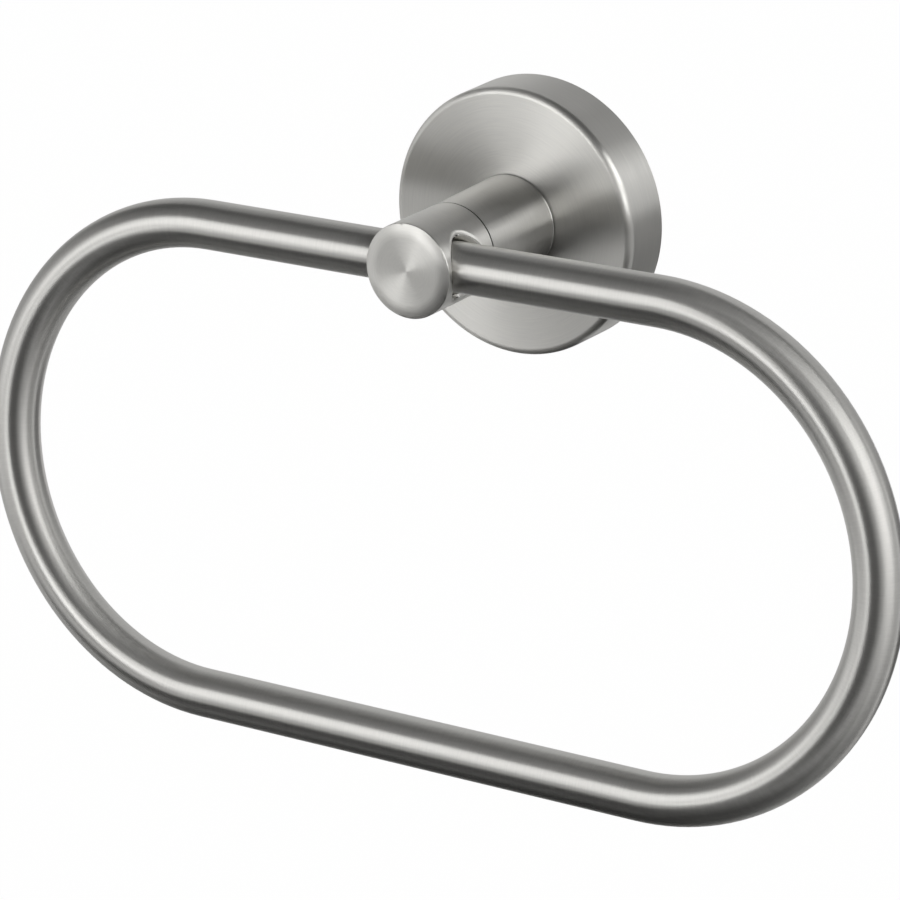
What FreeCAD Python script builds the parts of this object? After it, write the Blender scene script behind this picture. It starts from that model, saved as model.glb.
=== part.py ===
import FreeCAD
import Part
import Sketcher
import math
import os
import re

# Towel ring: a bent tube that swings in the head of a round post, on a round wall flange.
# Millimetres. The wall is the plane Y = 0, the post stands out along -Y and Z is up.
# The origin is the centre of the flange on the wall.

SIZES = {
    # flange cover, a hollow turned disc with a soft front edge, whose side widens a hair towards the wall
    "flange_radius": 27.6,
    "flange_flare": 0.1,
    "flange_depth": 12.2,
    "flange_face": 2.6,
    "flange_wall": 2.2,
    "flange_edge": 1.5,
    "flange_corner": 1.0,
    "flange_foot": 0.3,
    # wall bracket, a disc with a raised rim that the cover slips over and a hole that clears the post screw
    "bracket_play": 0.3,
    "bracket_headroom": 0.4,
    "bracket_plate": 2.5,
    "screw_room": 0.9,
    "bracket_rim": 3.6,
    "bracket_edge": 0.4,
    "groove_land": 0.9,
    "groove_size": 2.0,
    "slot_spacing": 28.0,
    "slot_length": 8.0,
    "slot_radius": 2.3,
    # grub screw that pulls the cover onto the bracket from below
    "grub_radius": 2.0,
    "grub_length": 4.0,
    "grub_tip": 0.5,
    "grub_key": 2.0,
    "grub_key_depth": 1.8,
    "grub_seat": 0.05,
    # rear half of the post, tapered, with a spigot that centres it in the cover
    "root_radius": 10.0,
    "seam_radius": 9.55,
    "seam_distance": 33.65,
    "root_chamfer": 0.35,
    "seam_chamfer": 0.18,
    "spigot_radius": 4.5,
    "spigot_play": 0.05,
    "spigot_relief": 0.3,
    "rear_hole_spare": 1.0,
    "front_hole_spare": 0.5,
    "drill_point": 0.58,
    # screws share one fit: thread flanks are plain cylinders that stand this far apart
    "thread_gap": 0.05,
    "thread_chamfer": 0.6,
    # screw and lock washer that hold the post from inside the cover
    "post_screw_radius": 3.0,
    "post_screw_length": 12.0,
    "post_screw_head": 5.25,
    "post_screw_height": 3.3,
    "post_screw_dome": 1.9,
    "post_screw_key": 4.0,
    "post_screw_key_depth": 2.0,
    "washer_radius": 6.1,
    "washer_thickness": 1.5,
    "washer_split": 1.0,
    # head of the post, bored across for the ring and crowned in front
    "head_length": 16.75,
    "front_radius": 9.6,
    "front_edge": 0.2,
    "crown_flat": 6.8,
    "crown_drop": 0.6,
    "bore_play": 0.08,
    "bore_lip": 1.3,
    # stud that joins the head to the rear half, its tip between the ends of the ring
    "stud_radius": 3.0,
    "stud_length": 18.0,
    "stud_in_post": 7.0,
    "stud_key": 3.0,
    "stud_key_depth": 3.0,
    # ring, one tube bent to a stadium and left open inside the head
    "ring_inset": 9.05,
    "ring_straight": 52.0,
    "ring_bend": 49.3,
    "ring_tube": 5.0,
    "ring_wall": 1.0,
    "ring_end_play": 0.5,
    "ring_lean": 4.6,
}

# Formulas that several pieces share, in the words of the sheet.
SEAT = "(flange_depth - flange_face)"
BRACKET_RADIUS = "(flange_radius - flange_wall - bracket_play)"
SCREW_UNDERHEAD = "(%s - washer_thickness)" % SEAT
SCREW_BACK = "(%s - post_screw_height)" % SCREW_UNDERHEAD
SPIGOT_END = "(%s + spigot_relief)" % SEAT
RIM_FRONT = "(%s - bracket_headroom)" % SEAT
GROOVE_DISTANCE = "(%s - groove_land - groove_size)" % RIM_FRONT
GROOVE_FLOOR = "(%s - groove_size)" % BRACKET_RADIUS
STUD_REAR = "(seam_distance - stud_in_post)"
STUD_TIP = "(%s + stud_length)" % STUD_REAR
FRONT_DISTANCE = "(seam_distance + head_length)"
CROWN_END = "(%s - crown_drop)" % FRONT_DISTANCE
CROWN_WIDTH = "(front_radius - crown_flat)"
RING_DISTANCE = "(seam_distance + ring_inset)"
BORE_RADIUS = "(ring_tube + bore_play)"

# Numbers that a sketch gives to the points of its lines and arcs.
START, END, CENTRE = range(1, 4)
QUARTER = math.pi / 2

doc = FreeCAD.newDocument("TowelRing")
sheet = doc.addObject("Spreadsheet::Sheet", "Sizes")
for row, (alias, value) in enumerate(SIZES.items(), start=1):
    sheet.set("A%d" % row, alias)
    sheet.set("B%d" % row, str(value))
    sheet.setAlias("B%d" % row, alias)
doc.recompute()


def bound(formula):
    """The formula with the sheet's name before each of its sizes."""
    def with_sheet(word):
        return "Sizes." + word.group() if word.group() in SIZES else word.group()

    return re.sub(r"[a-z_]+", with_sheet, formula)


def size(formula):
    return float(sheet.evalExpression(bound(formula)))


def bind(item, name, formula):
    """Tie one property of a feature to a formula of the sheet."""
    item.setExpression(name, bound(formula))


def new_body(label):
    body = doc.addObject("PartDesign::Body", label)
    body.Label = label
    return body


def new_sketch(body, name, role):
    """An empty sketch on one of the body's own origin planes."""
    plane = next(item for item in body.Origin.OriginFeatures if item.Role == role)
    sketch = body.newObject("Sketcher::SketchObject", name)
    sketch.AttachmentSupport = [(plane, "")]
    sketch.MapMode = "FlatFace"
    return sketch


def point_at(across, up):
    return FreeCAD.Vector(size(across), size(up), 0)


def hold(sketch, geometry, end, across, up):
    """Keep a point of the sketch at two formulas, measured from the sketch's origin."""
    for kind, formula in (("DistanceX", across), ("DistanceY", up)):
        held = Sketcher.Constraint(kind, -1, START, geometry, end, size(formula))
        bind(sketch, "Constraints[%d]" % sketch.addConstraint(held), formula)


def hold_radius(sketch, geometry, formula):
    held = Sketcher.Constraint("Radius", geometry, size(formula))
    bind(sketch, "Constraints[%d]" % sketch.addConstraint(held), formula)


def draw_outline(sketch, corners):
    """A closed outline with straight sides and every corner held."""
    points = [point_at(across, up) for across, up in corners]
    followers = points[1:] + points[:1]
    sides = [sketch.addGeometry(Part.LineSegment(*ends)) for ends in zip(points, followers)]
    for side, before, (across, up) in zip(sides, sides[-1:] + sides[:-1], corners):
        sketch.addConstraint(Sketcher.Constraint("Coincident", before, END, side, START))
        hold(sketch, side, START, across, up)


def draw_circle(sketch, across, up, radius):
    circle = Part.Circle(point_at(across, up), FreeCAD.Vector(0, 0, 1), size(radius))
    geometry = sketch.addGeometry(circle)
    hold(sketch, geometry, CENTRE, across, up)
    hold_radius(sketch, geometry, radius)


def revolve(body, kind, name, sketch):
    """Revolve a sketch once round the Y axis."""
    feature = body.newObject("PartDesign::" + kind, name)
    feature.Profile = sketch
    feature.ReferenceAxis = (sketch, ["V_Axis"])
    feature.Angle = 360
    doc.recompute()
    return feature


def turn(body, kind, name, corners):
    """Revolve an outline about the Y axis: corners are (radius, Y) pairs of formulas."""
    sketch = new_sketch(body, name + "_outline", "XY_Plane")
    draw_outline(sketch, corners)
    return revolve(body, kind, name, sketch)


def dress(body, kind, name, base, amount, wanted):
    """Fillet or chamfer the edges of the last feature that pass the test."""
    edges = ["Edge%d" % number for number, edge in enumerate(base.Shape.Edges, start=1) if wanted(edge)]
    feature = body.newObject("PartDesign::" + kind, name)
    feature.Base = (base, edges)
    bind(feature, "Radius" if kind == "Fillet" else "Size", amount)
    doc.recompute()
    return feature


def is_turned_edge(edge, radius, distance):
    """True for a circle about the Y axis with this radius, this far from the wall."""
    round_edge = isinstance(edge.Curve, Part.Circle)
    return (round_edge and abs(edge.Curve.Radius - size(radius)) < 1e-4
            and abs(edge.Curve.Center.y + size(distance)) < 1e-4)


def key_socket(body, name, across_flats, depth, mouth, tilt):
    """A hexagon socket. The prism starts at its mouth on the Y axis and is tilted about X from Z."""
    prism = body.newObject("PartDesign::SubtractivePrism", name)
    prism.Polygon = 6
    bind(prism, "Circumradius", "%s / sqrt(3)" % across_flats)
    bind(prism, "Height", depth)
    prism.Placement.Rotation = FreeCAD.Rotation(FreeCAD.Vector(1, 0, 0), tilt)
    bind(prism, "Placement.Base.y", mouth)
    doc.recompute()
    return prism


# Wall bracket: turned steel disc with a raised rim and a V groove round it.
# A hole clears the post screw, and two slots take the wall screws.
bracket = new_body("wall_bracket")
bracket_hole = "post_screw_head + screw_room"
disc = turn(bracket, "Revolution", "bracket_disc", [
    (bracket_hole, "0"),
    (BRACKET_RADIUS, "0"),
    (BRACKET_RADIUS, "-%s + groove_size" % GROOVE_DISTANCE),
    (GROOVE_FLOOR, "-" + GROOVE_DISTANCE),
    (BRACKET_RADIUS, "-%s - groove_size" % GROOVE_DISTANCE),
    (BRACKET_RADIUS, "-" + RIM_FRONT),
    (BRACKET_RADIUS + " - bracket_rim", "-" + RIM_FRONT),
    (BRACKET_RADIUS + " - bracket_rim", "-bracket_plate"),
    (bracket_hole, "-bracket_plate"),
])
bracket_edges = dress(bracket, "Chamfer", "bracket_edges", disc, "bracket_edge", lambda edge: (
    is_turned_edge(edge, BRACKET_RADIUS, RIM_FRONT)
    or is_turned_edge(edge, BRACKET_RADIUS + " - bracket_rim", RIM_FRONT)
    or is_turned_edge(edge, BRACKET_RADIUS, "0")))
slot_sketch = new_sketch(bracket, "slot_outline", "XZ_Plane")
slot_near = "slot_spacing / 2 - slot_length / 2 + slot_radius"
slot_far = "slot_spacing / 2 + slot_length / 2 - slot_radius"
for side in ("slot_radius", "-slot_radius"):
    slot_sketch.addGeometry(Part.LineSegment(point_at(slot_near, side), point_at(slot_far, side)))
up_axis = FreeCAD.Vector(0, 0, 1)
near_end = Part.Circle(point_at(slot_near, "0"), up_axis, size("slot_radius"))
far_end = Part.Circle(point_at(slot_far, "0"), up_axis, size("slot_radius"))
slot_sketch.addGeometry(Part.ArcOfCircle(near_end, QUARTER, 3 * QUARTER))
slot_sketch.addGeometry(Part.ArcOfCircle(far_end, -QUARTER, QUARTER))
for joint in ((0, START, 2, START), (1, START, 2, END), (0, END, 3, END), (1, END, 3, START)):
    slot_sketch.addConstraint(Sketcher.Constraint("Tangent", *joint))
hold(slot_sketch, 2, CENTRE, slot_near, "0")
hold(slot_sketch, 3, CENTRE, slot_far, "0")
hold_radius(slot_sketch, 2, "slot_radius")
slot = bracket.newObject("PartDesign::Pocket", "slot")
slot.Profile = slot_sketch
slot.Type = "ThroughAll"
slot.Reversed = True
doc.recompute()
slots = bracket.newObject("PartDesign::Mirrored", "slots")
slots.Originals = [slot]
slots.MirrorPlane = (slot_sketch, ["V_Axis"])
bracket.Tip = slots
doc.recompute()

# Flange cover: hollow turned disc, bored for the post's spigot and drilled below for the grub screw.
cover = new_body("flange_cover")
spigot_hole = "spigot_radius + spigot_play"
cup = turn(cover, "Revolution", "cover_cup", [
    (spigot_hole, "-flange_depth"),
    ("flange_radius", "-flange_depth"),
    ("flange_radius + flange_flare", "0"),
    ("flange_radius - flange_wall", "0"),
    ("flange_radius - flange_wall", "-" + SEAT),
    (spigot_hole, "-" + SEAT),
])
front_edge = dress(cover, "Fillet", "cover_front_edge", cup, "flange_edge",
                   lambda edge: is_turned_edge(edge, "flange_radius", "flange_depth"))
inner_corner = dress(cover, "Fillet", "cover_inner_corner", front_edge, "flange_corner",
                     lambda edge: is_turned_edge(edge, "flange_radius - flange_wall", SEAT))
foot_edge = dress(cover, "Chamfer", "cover_foot_edge", inner_corner, "flange_foot",
                  lambda edge: is_turned_edge(edge, "flange_radius + flange_flare", "0"))
grub_hole_sketch = new_sketch(cover, "grub_hole_outline", "XY_Plane")
draw_circle(grub_hole_sketch, "0", "-" + GROOVE_DISTANCE, "grub_radius + thread_gap")
grub_hole = cover.newObject("PartDesign::Pocket", "grub_hole")
grub_hole.Profile = grub_hole_sketch
grub_hole.Type = "ThroughAll"
doc.recompute()

# Grub screw: headless, cone point, hexagon socket. Drawn along Z with its socket end at its own origin.
grub = new_body("grub_screw")
grub_sketch = new_sketch(grub, "grub_profile", "XZ_Plane")
draw_outline(grub_sketch, [
    ("0", "0"),
    ("grub_radius - grub_tip", "0"),
    ("grub_radius", "grub_tip"),
    ("grub_radius", "grub_length - grub_radius + grub_tip"),
    ("grub_tip", "grub_length"),
    ("0", "grub_length"),
])
grub_shank = grub.newObject("PartDesign::Revolution", "grub_shank")
grub_shank.Profile = grub_sketch
grub_shank.ReferenceAxis = (grub_sketch, ["V_Axis"])
grub_shank.Angle = 360
doc.recompute()
key_socket(grub, "grub_socket", "grub_key", "grub_key_depth", "0", 0)
bind(grub, "Placement.Base.y", "-" + GROOVE_DISTANCE)
bind(grub, "Placement.Base.z", "-(%s + grub_tip + grub_seat + grub_length)" % GROOVE_FLOOR)

# Rear half of the post: tapered bar with a spigot, tapped at both ends. The holes end in the drill's cone.
post = new_body("rear_post")
bar = turn(post, "Revolution", "post_bar", [
    ("0", "-" + SPIGOT_END),
    ("spigot_radius", "-" + SPIGOT_END),
    ("spigot_radius", "-flange_depth"),
    ("root_radius", "-flange_depth"),
    ("seam_radius", "-seam_distance"),
    ("0", "-seam_distance"),
])
root_edge = dress(post, "Chamfer", "post_root_edge", bar, "root_chamfer",
                  lambda edge: is_turned_edge(edge, "root_radius", "flange_depth"))
seam_edge = dress(post, "Chamfer", "post_seam_edge", root_edge, "seam_chamfer",
                  lambda edge: is_turned_edge(edge, "seam_radius", "seam_distance"))
rear_thread = "(post_screw_radius + thread_gap)"
rear_floor = "(%s + post_screw_length + rear_hole_spare)" % SCREW_UNDERHEAD
turn(post, "Groove", "post_rear_hole", [
    ("0", "-" + SPIGOT_END),
    (rear_thread, "-" + SPIGOT_END),
    (rear_thread, "-" + rear_floor),
    ("0", "-%s - %s * drill_point" % (rear_floor, rear_thread)),
])
stud_thread = "(stud_radius + thread_gap)"
front_floor = "(%s - front_hole_spare)" % STUD_REAR
turn(post, "Groove", "post_front_hole", [
    ("0", "-seam_distance"),
    (stud_thread, "-seam_distance"),
    (stud_thread, "-" + front_floor),
    ("0", "-%s + %s * drill_point" % (front_floor, stud_thread)),
])

# Post screw: domed head inside the cover, its socket towards the wall.
screw = new_body("post_screw")
screw_tip = "(%s + post_screw_length)" % SCREW_UNDERHEAD
screw_bar = turn(screw, "Revolution", "screw_bar", [
    ("0", "-" + SCREW_BACK),
    ("post_screw_head", "-" + SCREW_BACK),
    ("post_screw_head", "-" + SCREW_UNDERHEAD),
    ("post_screw_radius", "-" + SCREW_UNDERHEAD),
    ("post_screw_radius", "-%s + thread_chamfer" % screw_tip),
    ("post_screw_radius - thread_chamfer", "-" + screw_tip),
    ("0", "-" + screw_tip),
])
dress(screw, "Fillet", "screw_dome", screw_bar, "post_screw_dome",
      lambda edge: is_turned_edge(edge, "post_screw_head", SCREW_BACK))
key_socket(screw, "screw_socket", "post_screw_key", "post_screw_key_depth", "-" + SCREW_BACK, 90)

# Lock washer: one split ring between the screw's head and the cover.
washer = new_body("lock_washer")
washer_sketch = new_sketch(washer, "washer_outline", "XZ_Plane")
bind(washer_sketch, "AttachmentOffset.Base.z", SCREW_UNDERHEAD)
draw_circle(washer_sketch, "0", "0", "washer_radius")
draw_circle(washer_sketch, "0", "0", "post_screw_radius + thread_gap")
washer_ring = washer.newObject("PartDesign::Pad", "washer_ring")
washer_ring.Profile = washer_sketch
bind(washer_ring, "Length", "washer_thickness")
doc.recompute()
split_sketch = new_sketch(washer, "split_outline", "XY_Plane")
draw_outline(split_sketch, [
    ("-washer_split", "-" + SCREW_UNDERHEAD),
    ("0", "-" + SCREW_UNDERHEAD),
    ("washer_split", "-" + SEAT),
    ("0", "-" + SEAT),
])
washer_cut = washer.newObject("PartDesign::Pocket", "washer_cut")
washer_cut.Profile = split_sketch
washer_cut.Type = "ThroughAll"
washer_cut.Reversed = True
doc.recompute()

# Head of the post: crowned in front, bored across for the ring with rounded lips, and tapped from behind.
# The crown is flat in the middle and falls to the edge in one arc, which leaves a crisp corner with the side.
head = new_body("ring_head")
turn(head, "Revolution", "head_block", [
    ("0", "-seam_distance"),
    ("seam_radius", "-seam_distance"),
    ("front_radius", "-" + CROWN_END),
    ("front_radius", "-" + FRONT_DISTANCE),
    ("0", "-" + FRONT_DISTANCE),
])
crown_sketch = new_sketch(head, "crown_outline", "XY_Plane")
crown_corners = [("crown_flat", "-" + FRONT_DISTANCE), ("front_radius", "-" + FRONT_DISTANCE),
                 ("front_radius", "-" + CROWN_END)]
flat_end, block_corner, crown_edge = [point_at(*corner) for corner in crown_corners]
crown_sketch.addGeometry(Part.LineSegment(flat_end, block_corner))
crown_sketch.addGeometry(Part.LineSegment(block_corner, crown_edge))
crown_ball = size("(%s * %s + crown_drop * crown_drop) / (2 * crown_drop)" % (CROWN_WIDTH, CROWN_WIDTH))
crown_slope = math.asin(size(CROWN_WIDTH) / crown_ball)
crown_circle = Part.Circle(flat_end + FreeCAD.Vector(0, crown_ball, 0), up_axis, crown_ball)
crown_sketch.addGeometry(Part.ArcOfCircle(crown_circle, -QUARTER, crown_slope - QUARTER))
crown_sketch.addConstraint(Sketcher.Constraint("Coincident", 0, END, 1, START))
crown_sketch.addConstraint(Sketcher.Constraint("Tangent", 0, START, 2, START))
crown_sketch.addConstraint(Sketcher.Constraint("Coincident", 1, END, 2, END))
hold(crown_sketch, 0, START, *crown_corners[0])
hold(crown_sketch, 0, END, *crown_corners[1])
hold(crown_sketch, 1, END, *crown_corners[2])
crown = revolve(head, "Groove", "head_crown", crown_sketch)
head_seam_edge = dress(head, "Chamfer", "head_seam_edge", crown, "seam_chamfer",
                       lambda edge: is_turned_edge(edge, "seam_radius", "seam_distance"))
dress(head, "Fillet", "head_front_edge", head_seam_edge, "front_edge",
      lambda edge: is_turned_edge(edge, "front_radius", CROWN_END))
bore_sketch = new_sketch(head, "bore_outline", "YZ_Plane")
draw_circle(bore_sketch, "-" + RING_DISTANCE, "0", BORE_RADIUS)
bore = head.newObject("PartDesign::Pocket", "head_bore")
bore.Profile = bore_sketch
bore.Type = "ThroughAll"
bore.Midplane = True
doc.recompute()
bore_lips = dress(head, "Fillet", "head_bore_lips", bore, "bore_lip", lambda edge: (
    abs(edge.CenterOfMass.x) > size(BORE_RADIUS)
    and abs(edge.CenterOfMass.y + size(RING_DISTANCE)) < size(BORE_RADIUS) / 2))
turn(head, "Groove", "head_stud_hole", [
    ("0", "-seam_distance"),
    (stud_thread, "-seam_distance"),
    (stud_thread, "-" + RING_DISTANCE),
    ("0", "-" + RING_DISTANCE),
])

# Stud: set screw with its socket in front, where a key reaches it before the ring goes in.
stud = new_body("head_stud")
turn(stud, "Revolution", "stud_bar", [
    ("0", "-" + STUD_REAR),
    ("stud_radius - thread_chamfer", "-" + STUD_REAR),
    ("stud_radius", "-%s - thread_chamfer" % STUD_REAR),
    ("stud_radius", "-%s + thread_chamfer" % STUD_TIP),
    ("stud_radius - thread_chamfer", "-" + STUD_TIP),
    ("0", "-" + STUD_TIP),
])
key_socket(stud, "stud_socket", "stud_key", "stud_key_depth", "-" + STUD_TIP, -90)

# Ring: one tube bent to a stadium, its open ends face each other inside the head's bore.
# Drawn in its own XZ plane with the swing axis on X, then leaned out from the wall.
ring = new_body("ring")
ring_end = "(stud_radius + ring_end_play)"
path = new_sketch(ring, "ring_path", "XZ_Plane")
path.addGeometry(Part.LineSegment(point_at(ring_end, "0"), point_at("ring_straight", "0")))
right_bend = Part.Circle(point_at("ring_straight", "-ring_bend"), up_axis, size("ring_bend"))
path.addGeometry(Part.ArcOfCircle(right_bend, -QUARTER, QUARTER))
path.addGeometry(Part.LineSegment(point_at("ring_straight", "-2 * ring_bend"),
                                  point_at("-ring_straight", "-2 * ring_bend")))
left_bend = Part.Circle(point_at("-ring_straight", "-ring_bend"), up_axis, size("ring_bend"))
path.addGeometry(Part.ArcOfCircle(left_bend, QUARTER, 3 * QUARTER))
path.addGeometry(Part.LineSegment(point_at("-ring_straight", "0"), point_at("-" + ring_end, "0")))
hold(path, 0, START, ring_end, "0")
hold(path, 1, CENTRE, "ring_straight", "-ring_bend")
hold(path, 3, CENTRE, "-ring_straight", "-ring_bend")
hold(path, 4, END, "-" + ring_end, "0")
for joint in ((0, END, 1, END), (2, START, 1, START), (2, END, 3, END), (4, START, 3, START)):
    path.addConstraint(Sketcher.Constraint("Tangent", *joint))
tube_sketch = new_sketch(ring, "ring_section", "YZ_Plane")
bind(tube_sketch, "AttachmentOffset.Base.z", ring_end)
draw_circle(tube_sketch, "0", "0", "ring_tube")
draw_circle(tube_sketch, "0", "0", "ring_tube - ring_wall")
doc.recompute()
tube = ring.newObject("PartDesign::AdditivePipe", "ring_tube_sweep")
tube.Profile = tube_sketch
tube.Spine = path
doc.recompute()
ring.Placement.Rotation = FreeCAD.Rotation(FreeCAD.Vector(1, 0, 0), -size("ring_lean"))
bind(ring, "Placement.Rotation.Angle", "-ring_lean")
bind(ring, "Placement.Base.y", "-" + RING_DISTANCE)

doc.recompute()
for item in doc.Objects:
    if "Invalid" in item.State or "Error" in item.State:
        raise RuntimeError("%s did not build: %s" % (item.Label, item.State))
    cutting = item.TypeId.split("::")[-1] in ("Groove", "Pocket", "SubtractivePrism")
    if cutting and item.BaseFeature.Shape.Volume - item.Shape.Volume < 1e-3:
        raise RuntimeError("%s cuts nothing" % item.Label)

bodies = [item for item in doc.Objects if item.TypeId == "PartDesign::Body"]
for body in bodies:
    if body.Shape.isNull() or not body.Shape.isValid() or len(body.Shape.Solids) != 1:
        raise RuntimeError("%s is not one sound solid" % body.Label)

os.makedirs("parts", exist_ok=True)
for body in bodies:
    body.Shape.exportStep("parts/%s.step" % body.Label)
    box = body.Shape.BoundBox
    print("%-14s %9.1f mm3  x %.2f %.2f  y %.2f %.2f  z %.2f %.2f" % (
        body.Label, body.Shape.Volume, box.XMin, box.XMax, box.YMin, box.YMax, box.ZMin, box.ZMax))
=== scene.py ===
import bpy
import math
from mathutils import Matrix, Vector


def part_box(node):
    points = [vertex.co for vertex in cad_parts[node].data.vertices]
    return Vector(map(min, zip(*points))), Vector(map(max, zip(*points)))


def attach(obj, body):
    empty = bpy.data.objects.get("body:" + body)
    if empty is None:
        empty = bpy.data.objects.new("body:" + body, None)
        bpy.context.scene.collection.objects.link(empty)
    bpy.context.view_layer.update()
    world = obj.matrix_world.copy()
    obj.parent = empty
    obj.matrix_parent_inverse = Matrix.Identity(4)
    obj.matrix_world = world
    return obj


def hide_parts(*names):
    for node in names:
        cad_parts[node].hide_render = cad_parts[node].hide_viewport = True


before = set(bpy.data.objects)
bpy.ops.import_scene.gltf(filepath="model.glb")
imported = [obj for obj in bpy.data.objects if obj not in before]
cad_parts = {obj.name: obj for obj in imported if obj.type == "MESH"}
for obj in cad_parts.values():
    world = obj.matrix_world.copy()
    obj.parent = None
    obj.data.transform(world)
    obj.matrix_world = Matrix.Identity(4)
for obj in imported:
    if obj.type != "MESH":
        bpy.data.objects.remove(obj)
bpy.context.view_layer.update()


# Wall bracket: a thick steel disc that two wall screws hold, hidden by the cover.
# It is turned from bar, slotted, and zinc plated in a barrel, which leaves it pale with a cloudy bluish bloom.

MM = 0.001


def colour(hex_value):
    """A linear colour for the shaders from an sRGB hex value."""
    channels = [int(hex_value[start:start + 2], 16) / 255 for start in (1, 3, 5)]
    linear = [value / 12.92 if value <= 0.04045 else ((value + 0.055) / 1.055) ** 2.4 for value in channels]
    return (*linear, 1.0)


def add_node(tree, kind, inputs=(), **settings):
    """Add one shader node with its settings. Each input is a plain value or another node's output."""
    made = tree.nodes.new("ShaderNode" + kind)
    for name, value in settings.items():
        setattr(made, name, value)
    for socket, value in dict(inputs).items():
        if isinstance(value, bpy.types.NodeSocket):
            tree.links.new(value, made.inputs[socket])
        else:
            made.inputs[socket].default_value = value
    return made


def new_material(name):
    """An empty node material and its tree."""
    material = bpy.data.materials.new(name)
    material.use_nodes = True
    material.node_tree.nodes.clear()
    return material, material.node_tree


def finish_with(piece, material):
    """Give a piece one material all over."""
    piece.data.materials.clear()
    piece.data.materials.append(material)


def zinc_plate():
    """Barrel plated zinc: cloudy grey with a cool bloom, rougher where the plate is dull."""
    material, tree = new_material("zinc_plated_steel")
    place = add_node(tree, "TexCoord").outputs["Object"]
    cloud = add_node(tree, "TexNoise", {"Vector": place, "Scale": 1 / (6 * MM), "Detail": 4.0}).outputs["Fac"]
    grain = add_node(tree, "TexNoise", {"Vector": place, "Scale": 1 / (0.4 * MM), "Detail": 2.0}).outputs["Fac"]
    tone = add_node(tree, "Mix", {"Factor": cloud, "A": colour("#9DA2A8"), "B": colour("#B7B6AE")}, data_type="RGBA")
    rough = add_node(tree, "MapRange", {"Value": cloud, "To Min": 0.28, "To Max": 0.5}).outputs["Result"]
    bump = add_node(tree, "Bump", {"Height": grain, "Strength": 0.25, "Distance": 0.02 * MM}).outputs["Normal"]
    shader = add_node(tree, "BsdfPrincipled", {
        "Base Color": tone.outputs["Result"], "Metallic": 1.0, "Roughness": rough, "Normal": bump})
    add_node(tree, "OutputMaterial", {"Surface": shader.outputs["BSDF"]})
    return material


finish_with(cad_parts["wall_bracket"], zinc_plate())


# Flange cover: a hollow disc turned from stainless steel, the round plate that shows on the wall.
# Its face and side are satin brushed in the lathe, so every fine line runs round the middle.
# Real brush lines are some hundredths of a millimetre wide, and are drawn 0.3 mm wide so that they show.

BRUSH_LINE = 0.3 * MM
BRUSH_BUMP = 0.04
BRUSH_DEPTH = 0.01 * MM
DULL_PATCH = 0.015


def turned_satin(name, tone_low, tone_high, roughness, anisotropy, unevenness, arc=3.0):
    """Stainless steel brushed on a lathe about the Y axis. Fine rings of lines draw each light out across them."""
    material, tree = new_material(name)
    place = add_node(tree, "TexCoord").outputs["Object"]
    axes = add_node(tree, "SeparateXYZ", {"Vector": place}).outputs
    flat = add_node(tree, "CombineXYZ", {"X": axes["X"], "Z": axes["Z"]}).outputs["Vector"]
    reach = add_node(tree, "VectorMath", {"Vector": flat}, operation="LENGTH").outputs["Value"]
    outward = add_node(tree, "VectorMath", {"Vector": flat}, operation="NORMALIZE").outputs["Vector"]
    spread = add_node(tree, "VectorMath", {"Vector": outward, "Scale": arc}, operation="SCALE").outputs["Vector"]
    along = add_node(tree, "Math", {0: reach, 1: axes["Y"]}, operation="ADD").outputs["Value"]
    lines = add_node(tree, "Math", {0: along, 1: 1 / BRUSH_LINE}, operation="MULTIPLY").outputs["Value"]
    stacked = add_node(tree, "CombineXYZ", {"Y": lines}).outputs["Vector"]
    pattern = add_node(tree, "VectorMath", {0: spread, 1: stacked}, operation="ADD").outputs["Vector"]
    brush = add_node(tree, "TexNoise", {"Vector": pattern, "Scale": 1.0, "Detail": 2.0}).outputs["Fac"]
    cloud = add_node(tree, "TexNoise", {"Vector": place, "Scale": 1 / (9 * MM), "Detail": 1.0}).outputs["Fac"]
    tone = add_node(tree, "Mix", {"Factor": brush, "A": colour(tone_low), "B": colour(tone_high)}, data_type="RGBA")
    streak = add_node(tree, "MapRange", {
        "Value": brush, "To Min": roughness - unevenness, "To Max": roughness + unevenness}).outputs["Result"]
    patch = add_node(tree, "MapRange", {"Value": cloud, "To Min": -DULL_PATCH, "To Max": DULL_PATCH}).outputs["Result"]
    rough = add_node(tree, "Math", {0: streak, 1: patch}, operation="ADD").outputs["Value"]
    bump = add_node(tree, "Bump", {
        "Height": brush, "Strength": BRUSH_BUMP, "Distance": BRUSH_DEPTH}).outputs["Normal"]
    round_axis = add_node(tree, "VectorMath", {
        0: (0.0, 1.0, 0.0), 1: flat}, operation="CROSS_PRODUCT").outputs["Vector"]
    facing = add_node(tree, "NewGeometry").outputs["Normal"]
    across = add_node(tree, "VectorMath", {0: facing, 1: round_axis}, operation="CROSS_PRODUCT").outputs["Vector"]
    tangent = add_node(tree, "VectorMath", {"Vector": across}, operation="NORMALIZE").outputs["Vector"]
    shader = add_node(tree, "BsdfPrincipled", {
        "Base Color": tone.outputs["Result"], "Metallic": 1.0, "Roughness": rough, "Normal": bump,
        "Anisotropic": anisotropy, "Tangent": tangent})
    add_node(tree, "OutputMaterial", {"Surface": shader.outputs["BSDF"]})
    return material


SAME_POINT = 0.001 * MM
SAME_CORNER = 0.01 * MM
HOLE_SIDES = 48
CRISP_ANGLE = math.radians(30)


def deselect_all():
    for item in bpy.context.selected_objects:
        item.select_set(False)


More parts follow.
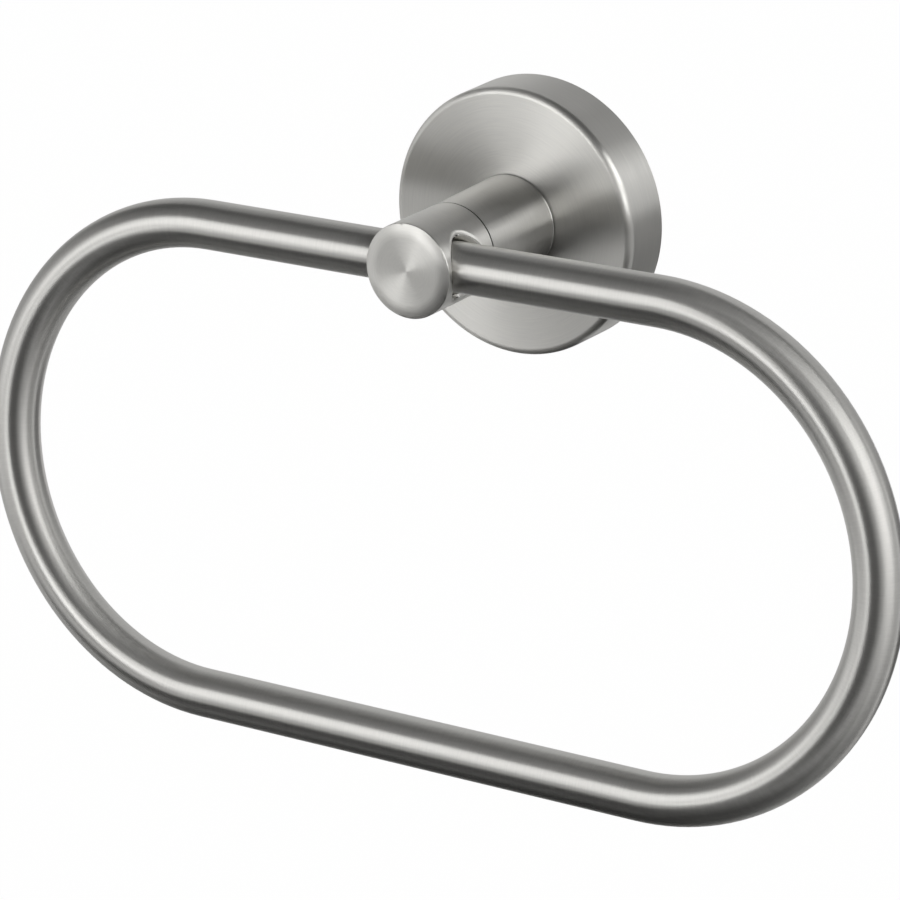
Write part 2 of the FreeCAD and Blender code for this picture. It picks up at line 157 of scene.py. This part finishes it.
def turn_on_lathe(name, outline, sides, solid=False):
    """A piece turned about the Y axis, from (radius, distance from the wall) corners in order.
    A solid bar is closed by flat ends. A shell is closed from its last corner back to its first."""
    deselect_all()
    first_radius, first_distance = outline[0]
    bpy.ops.mesh.primitive_circle_add(vertices=sides, radius=first_radius, location=(0, -first_distance, 0),
                                      rotation=(math.pi / 2, 0, 0), fill_type="NGON" if solid else "NOTHING")
    piece = bpy.context.active_object
    piece.name = name
    bpy.ops.object.transform_apply(location=True, rotation=True, scale=True)
    bpy.ops.object.mode_set(mode="EDIT")
    bpy.ops.mesh.select_all(action="SELECT")
    followers = outline[1:] if solid else outline[1:] + outline[:1]
    for (radius, distance), (next_radius, next_distance) in zip(outline, followers):
        grow = next_radius / radius
        bpy.ops.mesh.extrude_region_move(TRANSFORM_OT_translate={"value": (0, distance - next_distance, 0)})
        bpy.ops.transform.resize(value=(grow, 1, grow), center_override=(0, -next_distance, 0))
    bpy.ops.mesh.select_all(action="SELECT")
    bpy.ops.mesh.remove_doubles(threshold=SAME_POINT)
    bpy.ops.mesh.normals_make_consistent(inside=False)
    bpy.ops.object.mode_set(mode="OBJECT")
    return piece


def bevel_corner(piece, radius, distance, width, segments):
    """Round the turned corner that lies at this radius and this far from the wall."""
    def at_corner(point):
        return (abs(math.hypot(point.x, point.z) - radius) < SAME_CORNER
                and abs(point.y + distance) < SAME_CORNER)

    bpy.ops.object.mode_set(mode="EDIT")
    bpy.ops.mesh.select_all(action="DESELECT")
    bpy.ops.object.mode_set(mode="OBJECT")
    for vertex in piece.data.vertices:
        vertex.select = at_corner(vertex.co)
    for edge in piece.data.edges:
        edge.select = all(piece.data.vertices[end].select for end in edge.vertices)
    bpy.ops.object.mode_set(mode="EDIT")
    bpy.ops.mesh.bevel(offset=width, segments=segments, affect="EDGES")
    bpy.ops.object.mode_set(mode="OBJECT")


def drill_hole(piece, radius, depth, location, rotation=(0, 0, 0)):
    """Cut a round hole whose middle is at this place. Unturned, it runs along Z."""
    deselect_all()
    bpy.ops.mesh.primitive_cylinder_add(vertices=HOLE_SIDES, radius=radius, depth=depth,
                                        location=location, rotation=rotation)
    drill = bpy.context.active_object
    bpy.context.view_layer.objects.active = piece
    hole = piece.modifiers.new("hole", "BOOLEAN")
    hole.operation = "DIFFERENCE"
    hole.object = drill
    bpy.ops.object.modifier_apply(modifier="hole")
    bpy.data.objects.remove(drill)


def shade_turned(piece):
    """Smooth shading with crisp corners, even over the long flats."""
    bpy.context.view_layer.objects.active = piece
    piece.select_set(True)
    bpy.ops.object.shade_smooth_by_angle(angle=CRISP_ANGLE)
    even = piece.modifiers.new("even_shading", "WEIGHTED_NORMAL")
    even.keep_sharp = True
    bpy.ops.object.modifier_apply(modifier="even_shading")


cover_low, cover_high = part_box("flange_cover")
COVER_DEPTH = -cover_low.y
COVER_RADIUS = 27.6 * MM
COVER_FOOT = cover_high.x
COVER_WALL = 2.2 * MM
COVER_FACE = 2.6 * MM
COVER_BORE = 4.55 * MM
FRONT_ROUND = 1.5 * MM
FOOT_BREAK = 0.3 * MM
INSIDE_FILLET = 1.0 * MM
COVER_SIDES = 192
COVER_INSIDE = COVER_RADIUS - COVER_WALL
COVER_SEAT = COVER_DEPTH - COVER_FACE
cover = turn_on_lathe("cover_shell", [
    (COVER_BORE, COVER_SEAT), (COVER_BORE, COVER_DEPTH), (COVER_RADIUS, COVER_DEPTH),
    (COVER_FOOT, 0), (COVER_INSIDE, 0), (COVER_INSIDE, COVER_SEAT)], COVER_SIDES)
bevel_corner(cover, COVER_RADIUS, COVER_DEPTH, FRONT_ROUND, segments=12)
bevel_corner(cover, COVER_FOOT, 0, FOOT_BREAK, segments=2)
bevel_corner(cover, COVER_INSIDE, COVER_SEAT, INSIDE_FILLET, segments=4)

grub_low, grub_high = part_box("grub_screw")
GRUB_HOLE = 2.05 * MM
GRUB_HOLE_DEPTH = 8 * MM
drill_hole(cover, GRUB_HOLE, GRUB_HOLE_DEPTH, (0, (grub_low.y + grub_high.y) / 2, -COVER_RADIUS))
shade_turned(cover)

SATIN_LOW = "#CECDCA"
SATIN_HIGH = "#DFDED9"
finish_with(cover, turned_satin("satin_stainless", SATIN_LOW, SATIN_HIGH,
                                roughness=0.35, anisotropy=0.9, unevenness=0.07))
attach(cover, "wall_mount")
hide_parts("flange_cover")


# Grub screw, post screw, its lock washer and the stud: small steel fixings that hold the parts together
# out of sight. They come bright from thread rolling and stamping, with no brushing.

def rolled_steel():
    """Bright machine screw steel, dulled by handling in small cloudy patches."""
    material, tree = new_material("screw_steel")
    place = add_node(tree, "TexCoord").outputs["Object"]
    cloud = add_node(tree, "TexNoise", {"Vector": place, "Scale": 1 / (1.5 * MM), "Detail": 3.0}).outputs["Fac"]
    tone = add_node(tree, "Mix", {"Factor": cloud, "A": colour("#8E8D8B"), "B": colour("#A9A8A5")}, data_type="RGBA")
    rough = add_node(tree, "MapRange", {"Value": cloud, "To Min": 0.2, "To Max": 0.36}).outputs["Result"]
    shader = add_node(tree, "BsdfPrincipled", {
        "Base Color": tone.outputs["Result"], "Metallic": 1.0, "Roughness": rough})
    add_node(tree, "OutputMaterial", {"Surface": shader.outputs["BSDF"]})
    return material


screw_steel = rolled_steel()
for name in ("grub_screw", "post_screw", "head_stud", "lock_washer"):
    finish_with(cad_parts[name], screw_steel)


# Rear half of the post: a slim tapered steel bar, brushed on the lathe like the cover but a shade duller.
# Its foot ends in a narrow front-facing bevel over a shadow gap, and another fine gap parts it from the head.
# A hole drilled into each end takes a screw.

post_low, post_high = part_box("rear_post")
SPIGOT_RADIUS = 4.5 * MM
FOOT_RADIUS = post_high.x
FOOT_BEVEL = 0.12 * MM
FOOT_GAP = 0.35 * MM
FOOT_GAP_DEPTH = 0.4 * MM
SEAM_RADIUS = 9.55 * MM
SEAM_GAP = 0.22 * MM
SEAM_GAP_DEPTH = 0.55 * MM
THREAD_HOLE = 3.05 * MM
HOLE_SPARE = 0.5 * MM
TURN_SIDES = 128
spigot_end = -post_high.y
seam_distance = -post_low.y
foot = COVER_DEPTH + FOOT_GAP
post = turn_on_lathe("post_bar", [
    (SPIGOT_RADIUS, spigot_end), (SPIGOT_RADIUS, COVER_DEPTH), (FOOT_RADIUS - FOOT_GAP_DEPTH, COVER_DEPTH),
    (FOOT_RADIUS - FOOT_GAP_DEPTH, foot), (FOOT_RADIUS + FOOT_BEVEL, foot), (FOOT_RADIUS, foot + FOOT_BEVEL),
    (SEAM_RADIUS, seam_distance - SEAM_GAP), (SEAM_RADIUS - SEAM_GAP_DEPTH, seam_distance - SEAM_GAP),
    (SEAM_RADIUS - SEAM_GAP_DEPTH, seam_distance)], TURN_SIDES, solid=True)
stud_rear = -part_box("head_stud")[1].y
screw_tip = -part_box("post_screw")[0].y
ALONG_Y = (math.pi / 2, 0, 0)
for mouth, floor_distance in ((spigot_end, screw_tip + HOLE_SPARE), (seam_distance, stud_rear - HOLE_SPARE)):
    overrun = HOLE_SPARE if mouth > floor_distance else -HOLE_SPARE
    middle = (mouth + overrun + floor_distance) / 2
    drill_hole(post, THREAD_HOLE, abs(mouth + overrun - floor_distance), (0, -middle, 0), ALONG_Y)
shade_turned(post)
finish_with(post, turned_satin("satin_bar_stainless", "#C3C2BF", "#D2D1CD",
                               roughness=0.32, anisotropy=0.9, unevenness=0.03))
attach(post, "wall_mount")
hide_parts("rear_post")


# Head of the post: a crowned cap with a cross bore for the ring, brushed on the lathe like the cover.
# The rounded lips of its bore are buffed bright afterwards, and a dark line along its seam is painted shade.

def buff_bore_and_paint_seam_shade(material, bore_distance, lip_reach, seam_distance, seam_shade_width):
    """Give the lathe's satin a bright buffed ring round the cross bore and a dark line of painted shade at the seam,
    both of them drawn by their distance from the wall and from the bore's middle."""
    tree = material.node_tree
    shader = tree.nodes["Principled BSDF"]
    place = add_node(tree, "TexCoord").outputs["Object"]
    axes = add_node(tree, "SeparateXYZ", {"Vector": place}).outputs
    ahead = add_node(tree, "Math", {0: axes["Y"], 1: bore_distance}, operation="ADD").outputs["Value"]
    beside = add_node(tree, "CombineXYZ", {"Y": ahead, "Z": axes["Z"]}).outputs["Vector"]
    reach = add_node(tree, "VectorMath", {"Vector": beside}, operation="LENGTH").outputs["Value"]
    lip = add_node(tree, "Math", {0: reach, 1: lip_reach}, operation="LESS_THAN").outputs["Value"]
    for socket, buffed in (("Roughness", BUFFED_ROUGHNESS), ("Anisotropic", 0.0)):
        brushed_value = shader.inputs[socket].default_value
        mixed = add_node(tree, "Mix", {"Factor": lip, "A": brushed_value, "B": buffed}, data_type="FLOAT")
        if shader.inputs[socket].is_linked:
            tree.links.new(shader.inputs[socket].links[0].from_socket, mixed.inputs["A"])
        tree.links.new(mixed.outputs["Result"], shader.inputs[socket])
    # Painted shade: the base colour turns dark along the seam, where the narrow joint would fall into shadow.
    seam = add_node(tree, "Math", {
        0: axes["Y"], 1: -seam_distance - seam_shade_width}, operation="GREATER_THAN").outputs["Value"]
    tone = shader.inputs["Base Color"].links[0].from_socket
    painted_seam_shade = add_node(tree, "Mix", {"Factor": seam, "A": tone, "B": colour("#2E2D2B")}, data_type="RGBA")
    tree.links.new(painted_seam_shade.outputs["Result"], shader.inputs["Base Color"])


RING_AXIS_Y = -42.7 * MM
LIP_REACH = 6.35 * MM
SEAM_SHADE_WIDTH = 0.18 * MM
BUFFED_ROUGHNESS = 0.12
head_satin = turned_satin("satin_buffed_stainless_seam_shade", SATIN_LOW, SATIN_HIGH,
                          roughness=0.35, anisotropy=0.9, unevenness=0.07)
buff_bore_and_paint_seam_shade(head_satin, -RING_AXIS_Y, LIP_REACH, seam_distance, SEAM_SHADE_WIDTH)
finish_with(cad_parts["ring_head"], head_satin)


# Ring: one steel tube bent to a long loop, with its open ends inside the head.
# It is brushed with a belt that runs round the tube, so the lines go round it and the lights stretch along it.

ring_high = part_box("ring")[1]
TUBE_RADIUS = ring_high.z
TUBE_WALL = 1.0 * MM
RING_LEAN = math.radians(4.6)
RING_END = 3.5 * MM
BEND_RADIUS = 49.3 * MM
STRAIGHT_END = ring_high.x - TUBE_RADIUS - BEND_RADIUS
TUBE_SIDES = 64
BEND_STEPS = 72
SMOOTH_ANGLE = math.radians(40)


def along_and_round(point):
    """Where a point of the upright loop lies: its way along the tube in metres and its turn round it."""
    beside = point.x - max(-STRAIGHT_END, min(STRAIGHT_END, point.x))
    above = point.z + BEND_RADIUS
    turn = math.atan2(point.y, math.hypot(beside, above) - BEND_RADIUS) / (2 * math.pi) % 1.0
    half_loop = 2 * STRAIGHT_END + math.pi * BEND_RADIUS
    if above > 0 and abs(point.x) < STRAIGHT_END:
        way = point.x if point.x > 0 else 2 * half_loop + point.x
    elif abs(point.x) < STRAIGHT_END:
        way = half_loop - point.x
    elif point.x > 0:
        way = STRAIGHT_END + BEND_RADIUS * math.atan2(beside, above)
    else:
        way = half_loop + STRAIGHT_END + BEND_RADIUS * math.atan2(-beside, -above)
    return way, turn


def map_tube(piece):
    """Give the tube a UV map: U is the way along it in metres, V its turn."""
    layer = piece.data.uv_layers.new(name="tube")
    for face in piece.data.polygons:
        places = [along_and_round(piece.data.vertices[corner].co) for corner in face.vertices]
        crosses_seam = max(turn for way, turn in places) - min(turn for way, turn in places) > 0.5
        for loop, (way, turn) in zip(face.loop_indices, places):
            layer.data[loop].uv = (way, turn + 1 if crosses_seam and turn < 0.5 else turn)


def belted_satin(name, tone_low, tone_high, roughness, anisotropy, unevenness, arc=1.5):
    """Stainless tube brushed with a belt round it. Each light becomes a soft stripe along the tube."""
    material, tree = new_material(name)
    mapped = add_node(tree, "UVMap", uv_map="tube").outputs["UV"]
    axes = add_node(tree, "SeparateXYZ", {"Vector": mapped}).outputs
    turn = add_node(tree, "Math", {0: axes["Y"], 1: 2 * math.pi}, operation="MULTIPLY").outputs["Value"]
    side = add_node(tree, "Math", {0: turn}, operation="COSINE").outputs["Value"]
    rise = add_node(tree, "Math", {0: turn}, operation="SINE").outputs["Value"]
    lines = add_node(tree, "Math", {0: axes["X"], 1: 1 / (BRUSH_LINE * arc)}, operation="MULTIPLY").outputs["Value"]
    wrapped = add_node(tree, "CombineXYZ", {"X": lines, "Y": side, "Z": rise}).outputs["Vector"]
    brush = add_node(tree, "TexNoise", {"Vector": wrapped, "Scale": arc, "Detail": 2.0}).outputs["Fac"]
    place = add_node(tree, "TexCoord").outputs["Object"]
    cloud = add_node(tree, "TexNoise", {"Vector": place, "Scale": 1 / (12 * MM), "Detail": 1.0}).outputs["Fac"]
    tone = add_node(tree, "Mix", {"Factor": brush, "A": colour(tone_low), "B": colour(tone_high)}, data_type="RGBA")
    streak = add_node(tree, "MapRange", {
        "Value": brush, "To Min": roughness - unevenness, "To Max": roughness + unevenness}).outputs["Result"]
    patch = add_node(tree, "MapRange", {"Value": cloud, "To Min": -DULL_PATCH, "To Max": DULL_PATCH}).outputs["Result"]
    rough = add_node(tree, "Math", {0: streak, 1: patch}, operation="ADD").outputs["Value"]
    bump = add_node(tree, "Bump", {
        "Height": brush, "Strength": BRUSH_BUMP, "Distance": BRUSH_DEPTH}).outputs["Normal"]
    tangent = add_node(tree, "Tangent", direction_type="UV_MAP", uv_map="tube").outputs["Tangent"]
    shader = add_node(tree, "BsdfPrincipled", {
        "Base Color": tone.outputs["Result"], "Metallic": 1.0, "Roughness": rough, "Normal": bump,
        "Anisotropic": anisotropy, "Tangent": tangent})
    add_node(tree, "OutputMaterial", {"Surface": shader.outputs["BSDF"]})
    return material


deselect_all()
bpy.ops.mesh.primitive_circle_add(vertices=TUBE_SIDES, radius=TUBE_RADIUS, location=(RING_END, 0, 0),
                                  rotation=(0, math.pi / 2, 0))
tube = bpy.context.active_object
tube.name = "ring_tube"
bpy.ops.object.transform_apply(location=True, rotation=True, scale=True)
bpy.ops.object.mode_set(mode="EDIT")
bpy.ops.mesh.select_all(action="SELECT")
bpy.ops.mesh.extrude_region_move(TRANSFORM_OT_translate={"value": (STRAIGHT_END - RING_END, 0, 0)})
bpy.ops.mesh.spin(steps=BEND_STEPS, angle=-math.pi, center=(STRAIGHT_END, 0, -BEND_RADIUS), axis=(0, 1, 0))
bpy.ops.mesh.extrude_region_move(TRANSFORM_OT_translate={"value": (-2 * STRAIGHT_END, 0, 0)})
bpy.ops.mesh.spin(steps=BEND_STEPS, angle=-math.pi, center=(-STRAIGHT_END, 0, -BEND_RADIUS), axis=(0, 1, 0))
bpy.ops.mesh.extrude_region_move(TRANSFORM_OT_translate={"value": (STRAIGHT_END - RING_END, 0, 0)})
bpy.ops.mesh.select_all(action="SELECT")
bpy.ops.mesh.remove_doubles(threshold=SAME_POINT)
bpy.ops.mesh.normals_make_consistent(inside=False)
bpy.ops.object.mode_set(mode="OBJECT")
map_tube(tube)
wall = tube.modifiers.new("tube_wall", "SOLIDIFY")
wall.thickness = TUBE_WALL
wall.offset = -1
bpy.ops.object.modifier_apply(modifier="tube_wall")
tube.rotation_euler.x = -RING_LEAN
tube.location.y = RING_AXIS_Y
bpy.ops.object.transform_apply(location=True, rotation=True, scale=True)
bpy.ops.object.shade_smooth_by_angle(angle=SMOOTH_ANGLE)
finish_with(tube, belted_satin("belted_stainless", "#C9C8C5", "#D9D8D4",
                               roughness=0.4, anisotropy=0.9, unevenness=0.04))
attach(tube, "ring")
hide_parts("ring")


# Studio: a pale floor well below the part, and a tent of curved cards round it.
# Two tilted softboxes light it, one ahead on the left and one on the right, and grey and black cards
# hide the white room from the metal, which draws the dark stripes between the lights.

FLOOR_DROP = 1.3
FLOOR_SIZE = 24
WHITE_SHARE = 0.96
bpy.ops.mesh.primitive_plane_add(size=FLOOR_SIZE, location=(0, 0, -FLOOR_DROP))
floor = bpy.context.active_object
floor.name = "studio_floor"
floor_material, tree = new_material("floor_paper")
rays = add_node(tree, "LightPath").outputs
seen = add_node(tree, "Math", {
    0: rays["Is Camera Ray"], 1: rays["Is Glossy Ray"]}, operation="MAXIMUM").outputs["Value"]
seen = add_node(tree, "Math", {0: seen, 1: rays["Is Transmission Ray"]}, operation="MAXIMUM").outputs["Value"]
share = add_node(tree, "Math", {0: seen, 1: WHITE_SHARE}, operation="MULTIPLY").outputs["Value"]
paper = add_node(tree, "BsdfDiffuse", {"Color": colour("#F4F4F2")}).outputs["BSDF"]
glow = add_node(tree, "Emission", {"Color": colour("#FFFFFF"), "Strength": 1.0}).outputs["Emission"]
surface = add_node(tree, "MixShader", {0: share, 1: paper, 2: glow}).outputs["Shader"]
add_node(tree, "OutputMaterial", {"Surface": surface})
finish_with(floor, floor_material)

world = bpy.data.worlds.new("studio")
world.use_nodes = True
bpy.context.scene.world = world
room = world.node_tree.nodes["Background"]
room.inputs["Color"].default_value = colour("#FFFFFF")
room.inputs["Strength"].default_value = 1.0
world.cycles.sampling_method = "NONE"

TENT_CENTRE = Vector((0, -30, -45)) * MM
TENT_RADIUS = 1.06
CARD_STEP = 0.004
CARD_CELLS = 12
# Each card: its left and right edge as compass degrees from the part's front, its lower and upper edge
# as degrees above level, and its brightness. A later card stands in front of an earlier one.
# Only the softboxes count as lamps. The grey cards and the room don't, which keeps the grain down.
CARDS = {
    "back_left": (-178, -110, -60, 62, 0.65),
    "back_right": (132, 180, -58, 61, 0.51),
    "left": (-116, -74, -55, 42, 0.55),
    "left_high_black": (-111, -75, 27, 65, 0.05),
    "right": (33, 122, -60, 14, 0.46),
    "front_high": (-73, 37, 24, 66, 0.11),
    "right_high": (35, 140, 29, 59, 0.17),
    "front_low": (-70, 63, -66, -22, 0.04),
    "front": (-45, -1, -6, 39, 0.14),
    "front_black": (-28, 33, -23, 56, 0.16),
    "back_black": (131, 172, -36, -3, 0.03),
    "top": (-180, 180, 52, 90, 0.07),
    "bottom": (-174, 165, -90, -48, 0.03),
    "right_softbox_low": (48, 91, 4, 19, 2.41),
    "right_softbox_high": (60, 112, 23, 44, 2.63),
    "key_softbox_high": (-49, -12, 5, 32, 2.25),
    "key_softbox_low": (-26, -7, -6, 10, 3.24),
}
for number, (name, (left, right, low, high, brightness)) in enumerate(CARDS.items()):
    bpy.ops.mesh.primitive_grid_add(x_subdivisions=CARD_CELLS, y_subdivisions=CARD_CELLS, size=1)
    card = bpy.context.active_object
    card.name = "card_" + name
    for vertex in card.data.vertices:
        compass = math.radians(left + (right - left) * (vertex.co.x + 0.5))
        height = math.radians(low + (high - low) * (vertex.co.y + 0.5))
        away = (math.sin(compass) * math.cos(height), -math.cos(compass) * math.cos(height), math.sin(height))
        vertex.co = TENT_CENTRE + (TENT_RADIUS - CARD_STEP * number) * Vector(away)
    card_material, tree = new_material("card_" + name)
    light = add_node(tree, "Emission", {"Color": colour("#FFFFFF"), "Strength": brightness}).outputs["Emission"]
    add_node(tree, "OutputMaterial", {"Surface": light})
    card_material.cycles.emission_sampling = "FRONT_BACK" if brightness > 1 else "NONE"
    finish_with(card, card_material)
    card.visible_camera = False


# Camera: a long lens at the photograph's angle.

CAMERA_AZIMUTH = math.radians(33.325)
CAMERA_ELEVATION = math.radians(19.327)
CAMERA_ROLL = math.radians(-1.2124)
CAMERA_DISTANCE = 894.12 * MM
CAMERA_TARGET = Vector((-3.548, -30.9, -42.931)) * MM
CAMERA_LENS = 179.1

level = math.cos(CAMERA_ELEVATION)
back = Vector((math.sin(CAMERA_AZIMUTH) * level, -math.cos(CAMERA_AZIMUTH) * level, math.sin(CAMERA_ELEVATION)))
right = Vector((math.cos(CAMERA_AZIMUTH), math.sin(CAMERA_AZIMUTH), 0))
turn = Matrix.Rotation(CAMERA_ROLL, 3, "Z")
axes = Matrix((right, back.cross(right), back)).transposed() @ turn
camera = bpy.data.objects.new("camera", bpy.data.cameras.new("camera"))
camera.data.lens = CAMERA_LENS
camera.matrix_world = Matrix.Translation(CAMERA_TARGET + back * CAMERA_DISTANCE) @ axes.to_4x4()
bpy.context.scene.collection.objects.link(camera)
bpy.context.scene.camera = camera
bpy.context.scene.view_settings.view_transform = "Standard"
